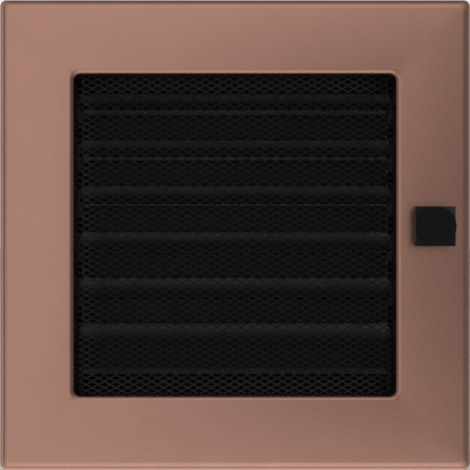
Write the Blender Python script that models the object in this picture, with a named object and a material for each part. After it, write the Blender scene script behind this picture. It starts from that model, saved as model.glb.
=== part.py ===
"""Square louvred vent cover for a warm air outlet in a wall.

A pressed copper face with a lipped opening, a diamond mesh, a louvre of six blades turned together
by a link bar, and a magnetic knob that slides on the face and moves the link bar behind it.
The wall lies in the plane y = 0, the face looks along -Y and the blades lie along X.
All sizes are in metres.
"""

import math

import bmesh
import bpy
from mathutils import Vector

# Face: a pressed sheet with a return edge that reaches the wall.
FACE_BAND = 0.0276
FACE_DEPTH = 0.010
FACE_SHEET = 0.0012
FACE_EDGE_RADIUS = 0.0036
FACE_CORNER_RADIUS = 0.0024
OPENING_SIZE = 0.1168
OPENING_CORNER_RADIUS = 0.0022
LIP_DEPTH = 0.005
LIP_RADIUS = 0.0029

# Clearances between pieces.
SEAT_GAP = 0.0003
CASSETTE_TO_SLEEVE = 0.0015
BLADE_END_GAP = 0.0004

# Diamond mesh behind the lip.
MESH_THICKNESS = 0.0008
MESH_LONG_WAY = 0.0193
MESH_SHORT_WAY = 0.0098
MESH_STRAND = 0.0009
MESH_RIM = 0.0010

# Louvre blade, measured from its fold.
LEAST_BLADE_PITCH = 0.0170
BLADE_SHEET = 0.0008
BLADE_SETBACK = 0.023
FIRST_FOLD_DROP = 0.0045
LAST_FOLD_RISE = 0.00712
LIP_REACH = 0.013
LIP_DROP = 0.007
LIP_TURN = math.radians(84)
FLAT_HEIGHT = 0.0094
TOP_LEAN = 0.003
TOP_HEIGHT = 0.006
FOLD_RADIUS = 0.0010

# Blade ears, pivots and bushes.
PIVOT_BEHIND_FOLD = 0.0035
PIVOT_ABOVE_FOLD = 0.0025
EAR_RADIUS = 0.0032
EAR_INSET = 0.0003
EAR_ARC_TOP = math.radians(60)
EAR_ARC_BOTTOM = math.radians(-120)
PIN_RADIUS = 0.0015
PIN_HEAD_RADIUS = 0.0024
PIN_HEAD_THICKNESS = 0.0008
BUSH_WALL = 0.0012
BUSH_FLANGE_WIDTH = 0.0012
BUSH_FLANGE_THICKNESS = 0.0010
BUSH_STANDOUT = 0.0005

# Cassette that carries the blades.
CASSETTE_SHEET = 0.0010
CASSETTE_BEHIND_FOOT = 0.003
CASSETTE_BEND = 0.0020
SIDE_FLANGE = 0.0031
REAR_FLANGE = 0.0040
REAR_BEND = 0.0010
BLADE_TO_CASSETTE = 0.0008
CORNER_TAB_TO_BACK = 0.003
CORNER_TAB_HEIGHT = 0.009
CORNER_TAB_START = 0.003
CORNER_RIVET_EDGE = 0.005
CORNER_RIVET_DROP = 0.005

# Baffle that closes the gap below the last blade.
BAFFLE_LIP_REACH = 0.0032
BAFFLE_LIP_DROP = 0.0017
BAFFLE_WEB_SETBACK = 0.0060
BAFFLE_FOOT = 0.008
BAFFLE_RIVET_INSET = 0.018

# Cranks and link bar.
OPENING_ANGLE = math.radians(52)
CRANK_RADIUS = 0.009
CRANK_THICKNESS = 0.0012
CRANK_HUB_RADIUS = 0.0032
CRANK_END_RADIUS = 0.0024
CRANK_PIN_RADIUS = 0.00125
LINK_WIDTH = 0.008
LINK_THICKNESS = 0.0010
CRANK_PIN_HEAD_RADIUS = 0.0021
CRANK_PIN_HEAD_THICKNESS = 0.0006

# Magnet follower behind the face.
ARM_THICKNESS = 0.0010
ARM_WIDTH = 0.0100
ARM_LEG_CLEAR = 0.0030
ARM_TOE = 0.0062
ARM_RIVET_SPACING = 0.0052
FOLLOWER_GAP = 0.0005
FOLLOWER_TO_CASSETTE = 0.0006
FOLLOWER_RADIUS = 0.0060
FOLLOWER_THICKNESS = 0.0030
CUP_WALL = 0.0004
CUP_BASE = 0.0007
MAGNET_BEVEL = 0.0003

# Knob on the face.
KNOB_Z = 0.0031
PAD_THICKNESS = 0.0004
PAD_RADIUS = 0.0062
HOLDER_RADIUS = 0.0064
HOLDER_HEIGHT = 0.0040
HOLDER_BASE = 0.0011
KNOB_MAGNET_RADIUS = 0.0049
KNOB_MAGNET_THICKNESS = 0.0023
CAP_SIZE = 0.0142
CAP_HEIGHT = 0.0037
CAP_BEVEL = 0.0004
CAP_BEVEL_STEPS = 2
DISC_RADIUS = 0.00695
DISC_THICKNESS = 0.0008
DISC_BEVEL = 0.0003

# Wall sleeve.
SLEEVE_SHEET = 0.0010
SLEEVE_DEPTH = 0.045
SLEEVE_FLANGE = 0.0045
SLEEVE_BEND = 0.0010
SLEEVE_CORNER_RADIUS = 0.0030
ANCHOR_WIDTH = 0.010
ANCHOR_LENGTH = 0.009
ANCHOR_ANGLE = math.radians(22)
ANCHOR_DEPTH = 0.018
ANCHOR_INSET = 0.0336
ANCHOR_SLIT = 0.0004

# Springs that hold the cover in the sleeve.
SPRING_SHEET = 0.0005
SPRING_WIDTH = 0.010
SPRING_INSET = 0.0311
SPRING_FOOT_SETBACK = 0.0040
SPRING_FOOT = 0.0090
SPRING_BEND = 0.0015
SPRING_CREST_DEPTH = 0.025
SPRING_TAIL = 0.007
SPRING_TAIL_RETURN = 0.0022

# Fasteners.
RIVET_RADIUS = 0.0012
RIVET_HEAD_RADIUS = 0.0020
RIVET_HEAD_THICKNESS = 0.0007
RIVET_CROWN = 0.6
RIVET_ROOT = 0.7
SPRING_RIVET_SPACING = 0.0044
STUD_RADIUS = 0.0015
STUD_LENGTH = 0.006
STUD_INSET = 0.0134
NUT_WIDTH = 0.0055
NUT_THICKNESS = 0.0024
NUT_SIDES = 6

# Smoothness of arcs.
BEND_STEPS = 3
FACE_BEND_STEPS = 5
CORNER_STEPS = 4
LIP_STEPS = 6
ROUND_STEPS = 16
DISC_STEPS = 28
HOLE_STEPS = 8
SMALL_STEPS = 8
SMOOTH_ANGLE = math.radians(38)
WELD_DISTANCE = 1e-6

# Places that follow from the sizes above.
FACE_FRONT = -FACE_DEPTH
FACE_BACK = FACE_FRONT + FACE_SHEET
OPENING_HALF = OPENING_SIZE / 2
FACE_HALF = OPENING_HALF + FACE_BAND
LIP_OUTSIDE = OPENING_HALF + FACE_SHEET
LIP_END = FACE_FRONT + LIP_DEPTH
MESH_FRONT = LIP_END + SEAT_GAP
MESH_HALF = LIP_OUTSIDE - SEAT_GAP
SIDE_INSIDE = LIP_OUTSIDE + SEAT_GAP
SIDE_OUTSIDE = SIDE_INSIDE + CASSETTE_SHEET
CASSETTE_FRONT = FACE_BACK + SEAT_GAP
BLADE_HALF = OPENING_HALF - BLADE_END_GAP
FOLD_Y = FACE_FRONT + BLADE_SETBACK
FIRST_FOLD_Z = OPENING_HALF - FIRST_FOLD_DROP
LAST_FOLD_Z = LAST_FOLD_RISE - OPENING_HALF
BLADE_COUNT = int((FIRST_FOLD_Z - LAST_FOLD_Z) / LEAST_BLADE_PITCH)
BLADE_PITCH = (FIRST_FOLD_Z - LAST_FOLD_Z) / BLADE_COUNT
PIVOT_Y = FOLD_Y + PIVOT_BEHIND_FOLD
EAR_OUTSIDE = BLADE_HALF - EAR_INSET
EAR_INSIDE = EAR_OUTSIDE - BLADE_SHEET
PIN_HOLE_RADIUS = PIN_RADIUS + SEAT_GAP
BUSH_RADIUS = PIN_HOLE_RADIUS + BUSH_WALL
BUSH_END = SIDE_OUTSIDE + BUSH_STANDOUT
CRANK_INSIDE = BUSH_END + SEAT_GAP
CRANK_OUTSIDE = CRANK_INSIDE + CRANK_THICKNESS
CRANK_REST_ANGLE = OPENING_ANGLE / 2
CRANK_PIN_Y = PIVOT_Y + CRANK_RADIUS * math.cos(CRANK_REST_ANGLE)
CRANK_PIN_RISE = CRANK_RADIUS * math.sin(CRANK_REST_ANGLE)
LINK_INSIDE = CRANK_OUTSIDE + SEAT_GAP
LINK_OUTSIDE = LINK_INSIDE + LINK_THICKNESS
CRANK_PIN_HOLE = CRANK_PIN_RADIUS + SEAT_GAP
RIVET_HOLE = RIVET_RADIUS + SEAT_GAP
FOLLOWER_FRONT = FACE_BACK + FOLLOWER_GAP
CUP_RADIUS = FOLLOWER_RADIUS + SEAT_GAP + CUP_WALL
CUP_FLOOR = FOLLOWER_FRONT + FOLLOWER_THICKNESS + SEAT_GAP
ARM_TOE_FRONT = CUP_FLOOR + CUP_BASE + SEAT_GAP
BLADE_TOP = FIRST_FOLD_Z + FLAT_HEIGHT + TOP_HEIGHT
CASSETTE_TOP_INSIDE = BLADE_TOP + BLADE_TO_CASSETTE
CASSETTE_TOP = CASSETTE_TOP_INSIDE + CASSETTE_SHEET
SLEEVE_INSIDE = CASSETTE_TOP + CASSETTE_TO_SLEEVE
SLEEVE_OUTSIDE = SLEEVE_INSIDE + SLEEVE_SHEET
END_FLANGE_EDGE = OPENING_HALF + LIP_RADIUS + SEAT_GAP
STUD_Z = (END_FLANGE_EDGE + CASSETTE_TOP_INSIDE) / 2
SIDE_FLANGE_END = SIDE_OUTSIDE + SIDE_FLANGE
KNOB_X = SIDE_FLANGE_END + FOLLOWER_TO_CASSETTE + CUP_RADIUS
BAFFLE_WEB_Y = FOLD_Y + BAFFLE_WEB_SETBACK
BAFFLE_FOOT_END = BAFFLE_WEB_Y + BAFFLE_FOOT
CASSETTE_BACK = BAFFLE_FOOT_END + CASSETTE_BEHIND_FOOT
REAR_FLANGE_FRONT = CASSETTE_BACK - CASSETTE_SHEET
END_WALL_BACK = REAR_FLANGE_FRONT - REAR_BEND
CORNER_TAB_END = CASSETTE_BACK - CORNER_TAB_TO_BACK
BAFFLE_RIVET_OFFSET = BLADE_HALF - BAFFLE_RIVET_INSET
STUD_OFFSET = OPENING_HALF - STUD_INSET
SPRING_OFFSET = CASSETTE_TOP - SPRING_INSET
ANCHOR_OFFSET = SLEEVE_OUTSIDE - ANCHOR_INSET
SPRING_FOOT_FRONT = FACE_FRONT + SPRING_FOOT_SETBACK
CORNER_RIVET_Z = CASSETTE_TOP - CORNER_RIVET_DROP


def clear_scene():
    for old in list(bpy.data.objects):
        bpy.data.objects.remove(old, do_unlink=True)


def finish(name, colour, roughness, metallic):
    material = bpy.data.materials.new(name)
    material.use_nodes = True
    shader = material.node_tree.nodes["Principled BSDF"]
    shader.inputs["Base Color"].default_value = (*colour, 1.0)
    shader.inputs["Roughness"].default_value = roughness
    shader.inputs["Metallic"].default_value = metallic
    return material


def mesh_from(bm, name):
    """Close a bmesh off as a mesh with outward faces and smooth round surfaces."""
    bmesh.ops.recalc_face_normals(bm, faces=bm.faces)
    mesh = bpy.data.meshes.new(name)
    bm.to_mesh(mesh)
    bm.free()
    mesh.shade_smooth()
    mesh.set_sharp_from_angle(angle=SMOOTH_ANGLE)
    return mesh


def place(name, mesh, material=None, location=(0.0, 0.0, 0.0), parent=None):
    item = bpy.data.objects.new(name, mesh)
    bpy.context.scene.collection.objects.link(item)
    if material and not mesh.materials:
        mesh.materials.append(material)
    item.location = location
    item.parent = parent
    return item


def hinge_point(name, location, parent=None):
    """Empty on a joint's axis, which carries the pieces that turn about it."""
    empty = bpy.data.objects.new(name, None)
    bpy.context.scene.collection.objects.link(empty)
    empty.location = location
    empty.parent = parent
    return empty


# Outlines in a plane, as lists of (u, v) points.


def rounded_path(path, radii, steps=BEND_STEPS):
    """Replace the inner corners of an open path by arcs, one radius for each inner corner."""
    points = [Vector(path[0])]
    for before, corner, after, radius in zip(path, path[1:], path[2:], radii):
        corner = Vector(corner)
        back = (Vector(before) - corner).normalized()
        ahead = (Vector(after) - corner).normalized()
        half_angle = back.angle(ahead) / 2
        reach = radius / math.tan(half_angle)
        centre = corner + (back + ahead).normalized() * radius / math.sin(half_angle)
        start = corner + back * reach - centre
        sweep = start.angle_signed(corner + ahead * reach - centre)
        for step in range(steps + 1):
            turn = sweep * step / steps
            points.append(centre + turned_vector(start, -turn))
    points.append(Vector(path[-1]))
    return [(p.x, p.y) for p in points]


def turned_vector(vector, angle):
    cosine, sine = math.cos(angle), math.sin(angle)
    return Vector((vector.x * cosine - vector.y * sine, vector.x * sine + vector.y * cosine))


def offset_path(path, distance):
    """Path parallel to an open path, on the left of its direction of travel."""
    points = [Vector(p) for p in path]
    directions = [(b - a).normalized() for a, b in zip(points, points[1:])]
    normals = [Vector((-d.y, d.x)) for d in directions]
    shifted = [points[0] + normals[0] * distance]
    for point, first, second in zip(points[1:], normals, normals[1:]):
        middle = (first + second).normalized()
        shifted.append(point + middle * distance / middle.dot(first))
    shifted.append(points[-1] + normals[-1] * distance)
    return [(p.x, p.y) for p in shifted]


def sheet_outline(path, thickness):
    """Closed outline of a bent sheet with its other side on the left of the path."""
    return list(path) + offset_path(path, thickness)[::-1]


def circle(centre, radius, steps=HOLE_STEPS):
    angles = [2 * math.pi * step / steps for step in range(steps)]
    return [(centre[0] + radius * math.cos(a), centre[1] + radius * math.sin(a)) for a in angles]


def rectangle(low, high):
    return [low, (high[0], low[1]), high, (low[0], high[1])]


def capsule(first, first_radius, second, second_radius, steps=SMALL_STEPS):
    """Outline of a tapered lever between two round ends."""
    first, second = Vector(first), Vector(second)
    heading = math.atan2(second.y - first.y, second.x - first.x)
    flare = math.acos((first_radius - second_radius) / (second - first).length)
    points = []
    for step in range(steps + 1):
        angle = heading + flare + (2 * math.pi - 2 * flare) * step / steps
        points.append(first + first_radius * Vector((math.cos(angle), math.sin(angle))))
    for step in range(steps + 1):
        angle = heading - flare + 2 * flare * step / steps
        points.append(second + second_radius * Vector((math.cos(angle), math.sin(angle))))
    return [(p.x, p.y) for p in points]


# Solids.

PLANES = {
    "X": lambda u, v, w: (w, u, v),
    "Y": lambda u, v, w: (u, w, v),
    "Z": lambda u, v, w: (u, v, w),
}


def add_loop(bm, points, level, axis):
    to_space = PLANES[axis]
    corners = [bm.verts.new(to_space(u, v, level)) for u, v in points]
    return [bm.edges.new(pair) for pair in zip(corners, corners[1:] + corners[:1])]


def extrude_outline(bm, outline, low, high, axis, holes=()):
    """Prism of an outline with holes between two levels along an axis."""
    edges = add_loop(bm, outline, low, axis)
    for hole in holes:
        edges += add_loop(bm, hole, low, axis)
    filled = bmesh.ops.triangle_fill(bm, use_beauty=True, use_dissolve=False, edges=edges)
    faces = [item for item in filled["geom"] if isinstance(item, bmesh.types.BMFace)]
    raised = bmesh.ops.extrude_face_region(bm, geom=faces)
    corners = [item for item in raised["geom"] if isinstance(item, bmesh.types.BMVert)]
    bmesh.ops.translate(bm, verts=corners, vec=Vector(PLANES[axis](0.0, 0.0, high - low)))


def prism(name, outline, low, high, axis, holes=()):
    bm = bmesh.new()
    extrude_outline(bm, outline, low, high, axis, holes)
    return mesh_from(bm, name)


def revolve(bm, profile, axis, centre=(0.0, 0.0, 0.0), steps=ROUND_STEPS):
    """Turn a profile of (radius, height) points about an axis; one that starts on the axis is open."""
    to_space = PLANES[axis]
    centre = Vector(centre)
    corners = [bm.verts.new(centre + Vector(to_space(r, 0.0, h))) for r, h in profile]
    following = corners[1:] if profile[0][0] == 0.0 else corners[1:] + corners[:1]
    edges = [bm.edges.new(pair) for pair in zip(corners, following)]
    bmesh.ops.spin(
        bm,
        geom=corners + edges,
        cent=centre,
        axis=Vector(to_space(0.0, 0.0, 1.0)),
        angle=2 * math.pi,
        steps=steps,
        use_merge=True,
    )
    bmesh.ops.remove_doubles(bm, verts=bm.verts, dist=WELD_DISTANCE)


def turned(name, profile, axis, steps=ROUND_STEPS):
    bm = bmesh.new()
    revolve(bm, profile, axis, steps=steps)
    return mesh_from(bm, name)


def turned_group(name, profile, axis, centres, steps):
    bm = bmesh.new()
    for centre in centres:
        revolve(bm, profile, axis, centre, steps)
    return mesh_from(bm, name)


def square_ring(half, corner, y):
    """Loop of points round a square with round corners, in the plane at y."""
    points = []
    for quarter in range(4):
        for step in range(CORNER_STEPS + 1):
            angle = (quarter + step / CORNER_STEPS) * math.pi / 2
            diagonal = (quarter + 0.5) * math.pi / 2
            across = math.copysign(half - corner, math.cos(diagonal))
            up = math.copysign(half - corner, math.sin(diagonal))
            points.append((across + corner * math.cos(angle), y, up + corner * math.sin(angle)))
    return points


def square_sheet(name, outline, corner_radius):
    """Loft of a sheet's section, in (half width, y), all the way round a square."""
    bm = bmesh.new()
    rings = []
    for half, y in outline:
        ring = square_ring(half, corner_radius(half), y)
        rings.append([bm.verts.new(point) for point in ring])
    for ring, following in zip(rings, rings[1:] + rings[:1]):
        for a, b, c, d in zip(ring, ring[1:] + ring[:1], following[1:] + following[:1], following):
            bm.faces.new((a, b, c, d))
    return mesh_from(bm, name)


def disc(radius, low, high):
    return [(0.0, low), (radius, low), (radius, high), (0.0, high)]


def bevelled_disc(radius, low, high, bevel):
    return [
        (0.0, low),
        (radius - bevel, low),
        (radius, low + bevel),
        (radius, high - bevel),
        (radius - bevel, high),
        (0.0, high),
    ]


def cup_profile(bore, wall, rim, floor, base):
    """Round cup that is open at its rim and solid between its floor and its base."""
    return [
        (0.0, base),
        (bore + wall, base),
        (bore + wall, rim),
        (bore, rim),
        (bore, floor),
        (0.0, floor),
    ]


def rivet_profile(end, seat):
    """Rivet whose shank starts at its end and whose domed head rises from its seat."""
    crown = seat + math.copysign(RIVET_HEAD_THICKNESS, seat - end)
    return [
        (0.0, end),
        (RIVET_RADIUS, end),
        (RIVET_RADIUS, seat),
        (RIVET_HEAD_RADIUS, seat),
        (RIVET_HEAD_RADIUS * RIVET_CROWN, crown),
        (0.0, crown),
    ]


def rods(name, axis, centres, radius, low, high, steps=SMALL_STEPS):
    """Group of round bars between two levels, mostly used to drill holes."""
    return turned_group(name, disc(radius, low, high), axis, centres, steps)


def combined(name, base, *changes):
    """Mesh of a solid after a chain of Booleans, each given as (mesh, operation)."""
    stock = place(name + "_stock", base)
    tools = []
    for mesh, operation in changes:
        tool = place(name + "_tool", mesh)
        boolean = stock.modifiers.new(operation.lower(), "BOOLEAN")
        boolean.operation = operation
        boolean.solver = "EXACT"
        boolean.object = tool
        tools.append(tool)
    depsgraph = bpy.context.evaluated_depsgraph_get()
    result = bpy.data.meshes.new_from_object(stock.evaluated_get(depsgraph))
    result.name = name
    for item in [stock, *tools]:
        bpy.data.objects.remove(item, do_unlink=True)
    result.shade_smooth()
    result.set_sharp_from_angle(angle=SMOOTH_ANGLE)
    return result


# Face and mesh.


def face_corner_radius(half):
    """Tight at the outer edge, concentric with the lip round the opening."""
    if half > (FACE_HALF + OPENING_HALF) / 2:
        return FACE_CORNER_RADIUS
    return OPENING_CORNER_RADIUS + half - OPENING_HALF


def stud_centres():
    return [(x, 0.0, side * STUD_Z) for x in (-STUD_OFFSET, STUD_OFFSET) for side in (1, -1)]


def build_face(copper):
    """Pressed sheet with the four studs that are welded to its back."""
    path = [
        (FACE_HALF, 0.0),
        (FACE_HALF, FACE_FRONT),
        (OPENING_HALF, FACE_FRONT),
        (OPENING_HALF, LIP_END),
    ]
    outside = rounded_path(path, [FACE_EDGE_RADIUS, LIP_RADIUS], FACE_BEND_STEPS)
    section = sheet_outline(outside, -FACE_SHEET)
    sheet = square_sheet("face_sheet", section, face_corner_radius)
    root = FACE_FRONT + FACE_SHEET / 2
    tip = CASSETTE_FRONT + STUD_LENGTH
    studs = rods("studs", "Y", stud_centres(), STUD_RADIUS, root, tip, HOLE_STEPS)
    place("front_fascia", combined("front_fascia", sheet, (studs, "UNION")), copper)


def clipped_diamond(centre, half_long, half_short, limit):
    """Diamond, or the half of it that lies inside the square field of the mesh."""
    x, z = centre
    corners = [(x + half_long, z), (x, z + half_short), (x - half_long, z), (x, z - half_short)]
    return [(u, v) for u, v in corners if max(abs(u), abs(v)) < limit]


def mesh_holes():
    """Diamond holes in staggered rows, with half diamonds along the rim."""
    field = MESH_HALF - MESH_RIM
    columns = round(2 * field / MESH_LONG_WAY)
    rows = round(2 * field / MESH_SHORT_WAY)
    half_long = field / columns
    half_short = field / rows
    strand_share = MESH_STRAND / 2 * math.hypot(half_long, half_short) / (half_long * half_short)
    hole_long = half_long * (1 - strand_share)
    hole_short = half_short * (1 - strand_share)
    limit = field + MESH_STRAND / 2
    holes = []
    for column in range(2 * columns + 1):
        for row in range(column % 2, 2 * rows + 1, 2):
            centre = (column * half_long - field, row * half_short - field)
            corners = clipped_diamond(centre, hole_long, hole_short, limit)
            if len(corners) > 2:
                holes.append(corners)
    return holes


def build_mesh(black):
    outline = rectangle((-MESH_HALF, -MESH_HALF), (MESH_HALF, MESH_HALF))
    panel = prism("mesh_panel", outline, MESH_FRONT, MESH_FRONT + MESH_THICKNESS, "Y", mesh_holes())
    place("mesh_panel", panel, black)


# Louvre blades and what turns with them.


def blade_z(index):
    """Height of a blade's fold."""
    return FIRST_FOLD_Z - index * BLADE_PITCH


def pivot(index):
    return (0.0, PIVOT_Y, blade_z(index) + PIVOT_ABOVE_FOLD)


def lip_point(share):
    """Point of the curved lip, from its front edge at 0 to the fold at 1, measured from the fold."""
    turn = LIP_TURN * (1 - share)
    forward = LIP_REACH * math.sin(turn) / math.sin(LIP_TURN)
    down = LIP_DROP * (1 - math.cos(turn)) / (1 - math.cos(LIP_TURN))
    return (-forward, -down)


def blade_section():
    """Section of the blade, measured from its pivot."""
    lip = [lip_point(step / LIP_STEPS) for step in range(LIP_STEPS)]
    upper = [lip[-1], (0.0, 0.0), (0.0, FLAT_HEIGHT), (TOP_LEAN, FLAT_HEIGHT + TOP_HEIGHT)]
    front = lip[:-1] + rounded_path(upper, [FOLD_RADIUS, FOLD_RADIUS])
    moved = [(y - PIVOT_BEHIND_FOLD, z - PIVOT_ABOVE_FOLD) for y, z in front]
    return sheet_outline(moved, -BLADE_SHEET)


def ear_outline():
    """Round ear about the pivot, rooted in the middle of the blade's flat."""
    root = BLADE_SHEET / 2 - PIVOT_BEHIND_FOLD
    sweep = (EAR_ARC_BOTTOM - EAR_ARC_TOP) / SMALL_STEPS
    arc = [EAR_ARC_TOP + sweep * step for step in range(SMALL_STEPS + 1)]
    nose = [(EAR_RADIUS * math.cos(a), EAR_RADIUS * math.sin(a)) for a in arc]
    upper = FLAT_HEIGHT - PIVOT_ABOVE_FOLD - FOLD_RADIUS
    lower = FOLD_RADIUS - PIVOT_ABOVE_FOLD
    return [(root, lower), (root, upper)] + nose


def blade_mesh():
    sheet = prism("blade", blade_section(), -BLADE_HALF, BLADE_HALF, "X")
    hole = circle((0.0, 0.0), PIN_HOLE_RADIUS)
    ears = bmesh.new()
    extrude_outline(ears, ear_outline(), EAR_INSIDE, EAR_OUTSIDE, "X", [hole])
    extrude_outline(ears, ear_outline(), -EAR_OUTSIDE, -EAR_INSIDE, "X", [hole])
    return combined("louvre_blade", sheet, (mesh_from(ears, "ears"), "UNION"))


def rod_mesh():
    """Headed rod through the left bush, both ears, the right bush and the crank."""
    under_head = -BUSH_END - SEAT_GAP
    head = under_head - PIN_HEAD_THICKNESS
    profile = [
        (0.0, head),
        (PIN_HEAD_RADIUS, head),
        (PIN_HEAD_RADIUS, under_head),
        (PIN_RADIUS, under_head),
        (PIN_RADIUS, CRANK_OUTSIDE + SEAT_GAP),
        (0.0, CRANK_OUTSIDE + SEAT_GAP),
    ]
    return turned("pivot_rod", profile, "X", HOLE_STEPS)


def crank_mesh():
    """Lever on the rod's right end, with the headed pin that turns in the link bar."""
    pin_centre = (CRANK_PIN_Y - PIVOT_Y, CRANK_PIN_RISE)
    outline = capsule((0.0, 0.0), CRANK_HUB_RADIUS, pin_centre, CRANK_END_RADIUS)
    hole = circle((0.0, 0.0), PIN_HOLE_RADIUS)
    lever = prism("lever", outline, CRANK_INSIDE, CRANK_OUTSIDE, "X", [hole])
    root = (CRANK_INSIDE + CRANK_OUTSIDE) / 2
    under_head = LINK_OUTSIDE + SEAT_GAP
    crown = under_head + CRANK_PIN_HEAD_THICKNESS
    profile = [
        (0.0, root),
        (CRANK_PIN_RADIUS, root),
        (CRANK_PIN_RADIUS, under_head),
        (CRANK_PIN_HEAD_RADIUS, under_head),
        (CRANK_PIN_HEAD_RADIUS, crown),
        (0.0, crown),
    ]
    pin = turned_group("crank_pin", profile, "X", [(0.0, *pin_centre)], HOLE_STEPS)
    return combined("crank_arm", lever, (pin, "UNION"))


def build_blades(blade_black, steel, zinc):
    """One turning set for each blade, all alike."""
    pieces = [
        ("louvre_blade", blade_mesh(), blade_black),
        ("pivot_rod", rod_mesh(), steel),
        ("crank_arm", crank_mesh(), zinc),
    ]
    for index in range(BLADE_COUNT):
        axis = hinge_point(f"blade_axis_{index + 1}", pivot(index))
        for name, mesh, material in pieces:
            place(f"{name}_{index + 1}", mesh, material, parent=axis)


def bush_mesh(side):
    """Flanged bush in a side wall, with its flange towards the blades."""
    inner = SIDE_INSIDE - SEAT_GAP
    section = [
        (PIN_HOLE_RADIUS, inner - BUSH_FLANGE_THICKNESS),
        (BUSH_RADIUS + BUSH_FLANGE_WIDTH, inner - BUSH_FLANGE_THICKNESS),
        (BUSH_RADIUS + BUSH_FLANGE_WIDTH, inner),
        (BUSH_RADIUS, inner),
        (BUSH_RADIUS, BUSH_END),
        (PIN_HOLE_RADIUS, BUSH_END),
    ]
    profile = [(radius, side * height) for radius, height in section]
    return turned("pivot_bush", profile, "X", HOLE_STEPS)


def build_bushes(nylon):
    for side, across in [(1, "right"), (-1, "left")]:
        mesh = bush_mesh(side)
        for index in range(BLADE_COUNT):
            place(f"pivot_bush_{across}_{index + 1}", mesh, nylon, pivot(index))


# Link bar and magnet follower.


def crank_pin_z(index):
    return pivot(index)[2] + CRANK_PIN_RISE


def arm_centre_z():
    """Half way between the two crank pins nearest to the knob."""
    below = next(i for i in range(BLADE_COUNT) if crank_pin_z(i) < KNOB_Z)
    return (crank_pin_z(below - 1) + crank_pin_z(below)) / 2


def arm_rivet_centres():
    offsets = (-ARM_RIVET_SPACING / 2, ARM_RIVET_SPACING / 2)
    return [(0.0, CRANK_PIN_Y, arm_centre_z() + offset) for offset in offsets]


def build_link(steel, zinc, nickel):
    """Bar on the crank pins, with the bent arm and the magnet cup that the knob draws along."""
    top_pin = (0.0, CRANK_PIN_Y, crank_pin_z(0))
    axis = hinge_point("link_axis", top_pin)
    home = tuple(-value for value in top_pin)

    pins = [(CRANK_PIN_Y, crank_pin_z(index)) for index in range(BLADE_COUNT)]
    outline = capsule(pins[-1], LINK_WIDTH / 2, pins[0], LINK_WIDTH / 2)
    holes = [circle(pin, CRANK_PIN_HOLE) for pin in pins]
    holes += [circle((y, z), RIVET_HOLE, SMALL_STEPS) for _, y, z in arm_rivet_centres()]
    bar = prism("link_bar", outline, LINK_INSIDE, LINK_OUTSIDE, "X", holes)
    place("link_bar", bar, steel, home, axis)

    arm_inside = LINK_OUTSIDE + SEAT_GAP
    leg = SIDE_FLANGE_END + ARM_LEG_CLEAR
    foot_end = CRANK_PIN_Y - LINK_WIDTH / 2
    path = [
        (arm_inside, CRANK_PIN_Y + LINK_WIDTH / 2),
        (arm_inside, foot_end),
        (leg, foot_end - (leg - arm_inside)),
        (leg, ARM_TOE_FRONT),
        (KNOB_X + ARM_TOE, ARM_TOE_FRONT),
    ]
    bent = rounded_path(path, [ARM_THICKNESS, 2 * ARM_THICKNESS, ARM_THICKNESS])
    low = arm_centre_z() - ARM_WIDTH / 2
    strip = prism("arm_strip", sheet_outline(bent, ARM_THICKNESS), low, low + ARM_WIDTH, "Z")
    head = rivet_profile(LINK_INSIDE, arm_inside + ARM_THICKNESS * RIVET_ROOT)
    rivets = turned_group("arm_rivets", head, "X", arm_rivet_centres(), SMALL_STEPS)
    place("magnet_arm", combined("magnet_arm", strip, (rivets, "UNION")), zinc, home, axis)

    back = FOLLOWER_FRONT + FOLLOWER_THICKNESS
    magnet = bevelled_disc(FOLLOWER_RADIUS, FOLLOWER_FRONT, back, MAGNET_BEVEL)
    rim = FOLLOWER_FRONT + SEAT_GAP
    bore = FOLLOWER_RADIUS + SEAT_GAP
    cup = cup_profile(bore, CUP_WALL, rim, CUP_FLOOR, CUP_FLOOR + CUP_BASE)
    behind_knob = (KNOB_X - top_pin[0], -top_pin[1], KNOB_Z - top_pin[2])
    place("follower_magnet", turned("follower_magnet", magnet, "Y"), nickel, behind_knob, axis)
    place("follower_cup", turned("follower_cup", cup, "Y"), zinc, behind_knob, axis)


# Knob on the face.


def build_knob(black_plastic, disc_plastic, nickel, felt):
    axis = hinge_point("knob_slide", (KNOB_X, FACE_FRONT, KNOB_Z))
    pad_back = -SEAT_GAP
    pad_front = pad_back - PAD_THICKNESS
    holder_back = pad_front - SEAT_GAP
    holder_front = holder_back - HOLDER_HEIGHT
    recess_floor = holder_front + HOLDER_BASE
    magnet_front = recess_floor + SEAT_GAP
    cap_back = holder_front - SEAT_GAP
    cap_front = cap_back - CAP_HEIGHT
    disc_back = cap_front - SEAT_GAP

    pad = turned("knob_glide_pad", disc(PAD_RADIUS, pad_front, pad_back), "Y")
    place("knob_glide_pad", pad, felt, parent=axis)
    wall = HOLDER_RADIUS - KNOB_MAGNET_RADIUS - SEAT_GAP
    holder = cup_profile(KNOB_MAGNET_RADIUS + SEAT_GAP, wall, holder_back, recess_floor, holder_front)
    place("knob_holder", turned("knob_holder", holder, "Y"), black_plastic, parent=axis)
    magnet_back = magnet_front + KNOB_MAGNET_THICKNESS
    magnet = bevelled_disc(KNOB_MAGNET_RADIUS, magnet_front, magnet_back, MAGNET_BEVEL)
    place("knob_magnet", turned("knob_magnet", magnet, "Y"), nickel, parent=axis)

    half = CAP_SIZE / 2
    block = prism("knob_cap", rectangle((-half, -half), (half, half)), cap_front, cap_back, "Y")
    cap = place("knob_cap", block, black_plastic, parent=axis)
    bevel = cap.modifiers.new("soft_edges", "BEVEL")
    bevel.width = CAP_BEVEL
    bevel.segments = CAP_BEVEL_STEPS
    front = bevelled_disc(DISC_RADIUS, disc_back - DISC_THICKNESS, disc_back, DISC_BEVEL)
    face = turned("knob_front_disc", front, "Y", DISC_STEPS)
    place("knob_front_disc", face, disc_plastic, parent=axis)


# Cassette round the blades.


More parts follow.
